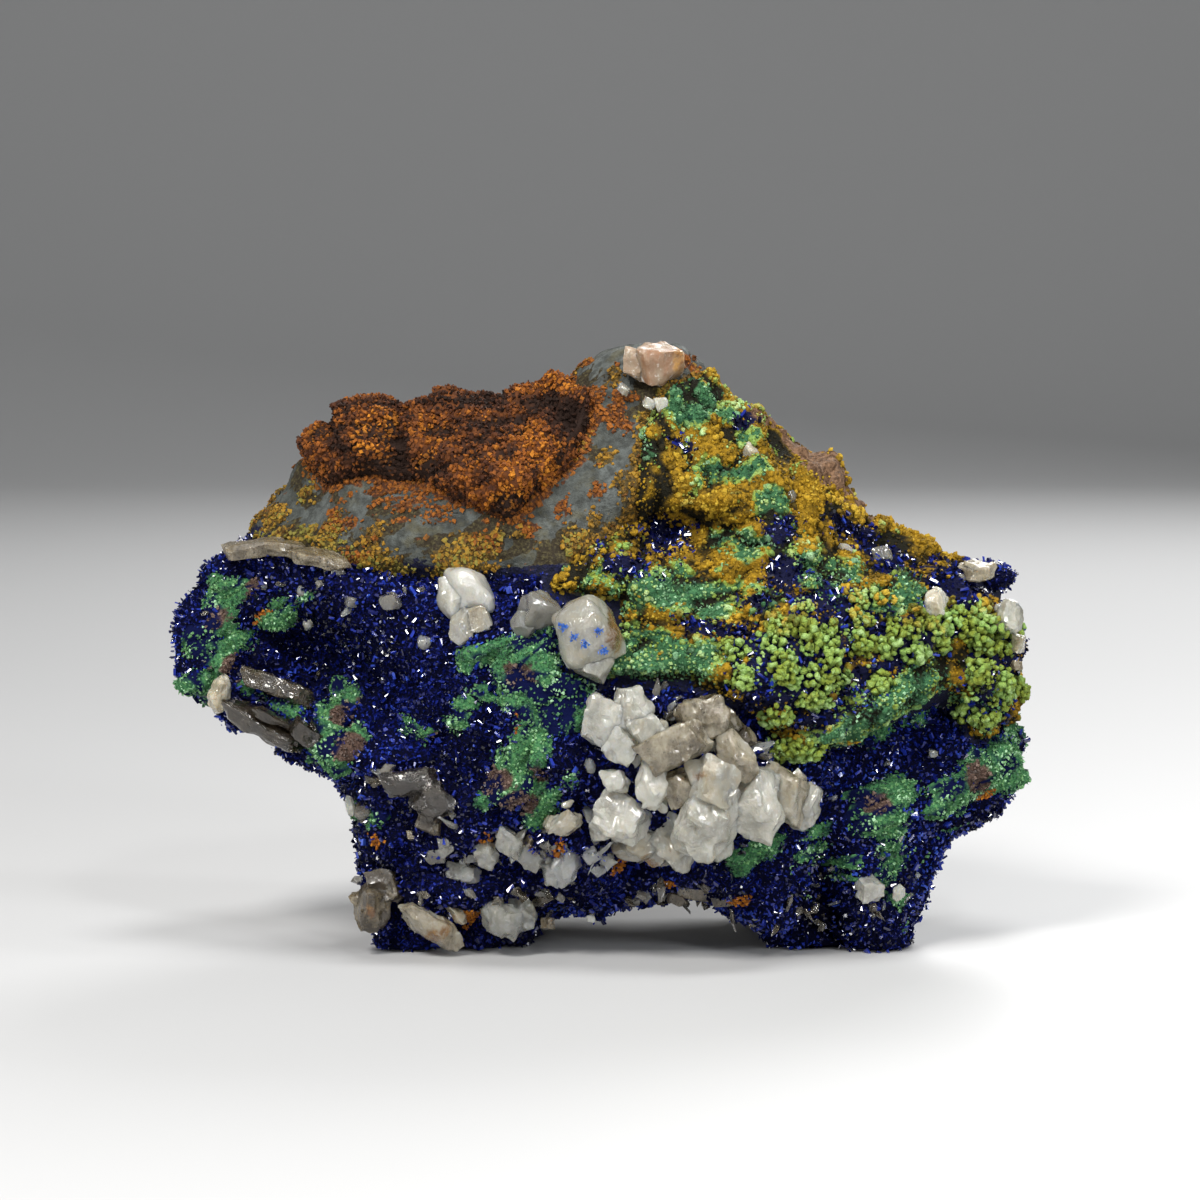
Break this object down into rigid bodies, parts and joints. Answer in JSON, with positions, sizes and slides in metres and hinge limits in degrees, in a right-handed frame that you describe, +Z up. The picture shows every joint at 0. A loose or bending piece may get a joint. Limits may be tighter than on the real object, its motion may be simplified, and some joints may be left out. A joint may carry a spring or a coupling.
{
  "type": "azurite specimen",
  "caption": "Mineral specimen: deep blue azurite crust with green malachite, rusty limonite and pale calcite crystals on a piece of grey limestone.",
  "frame": {"origin": "on the resting plane, under the middle of the whole specimen's box", "axes": "+X to the right along the show face, +Y away from the show face, +Z up"},
  "size_m": [0.087, 0.0488, 0.0613],
  "materials": {
    "limestone": "matt grey rock with ochre stains, broken behind",
    "limonite": "crumbly rust-brown to orange grains",
    "ochre_crust": "granular crust of ochre to lime-green balls",
    "azurite": "deep blue sparkling blades and needles",
    "malachite": "velvety green tufts with brown middles",
    "calcite": "translucent milky white to clear crystals",
    "stained_calcite": "beige to brown translucent crystals"
  },
  "bodies": {
    "root": {"azurite_crust": "azurite", "brown_foot": "stained_calcite", "calcite_blade": "calcite", "calcite_brown_ledge": "stained_calcite", "calcite_clear": "calcite", "calcite_cluster": "calcite", "calcite_glassy_low": "calcite", "calcite_grey": "calcite", "calcite_right_corner": "calcite", "calcite_right_small": "calcite", "calcite_right_top": "calcite", "calcite_round": "calcite", "calcite_small_block": "calcite", "calcite_upper": "calcite", "cavity_shelf_calcite": "stained_calcite", "clear_foot": "calcite", "cream_crystal_left": "calcite", "cream_foot": "calcite", "host_rock": "limestone", "limonite_crust": "limonite", "lump_crystal": "calcite", "malachite_cavity_corner": "malachite", "malachite_corner": "malachite", "malachite_crust": "ochre_crust", "malachite_left_rim": "malachite", "malachite_middle": "malachite", "malachite_mound": "malachite", "peak_crystal": "stained_calcite", "quartz_slab_left": "calcite"}
  },
  "joints": []
}
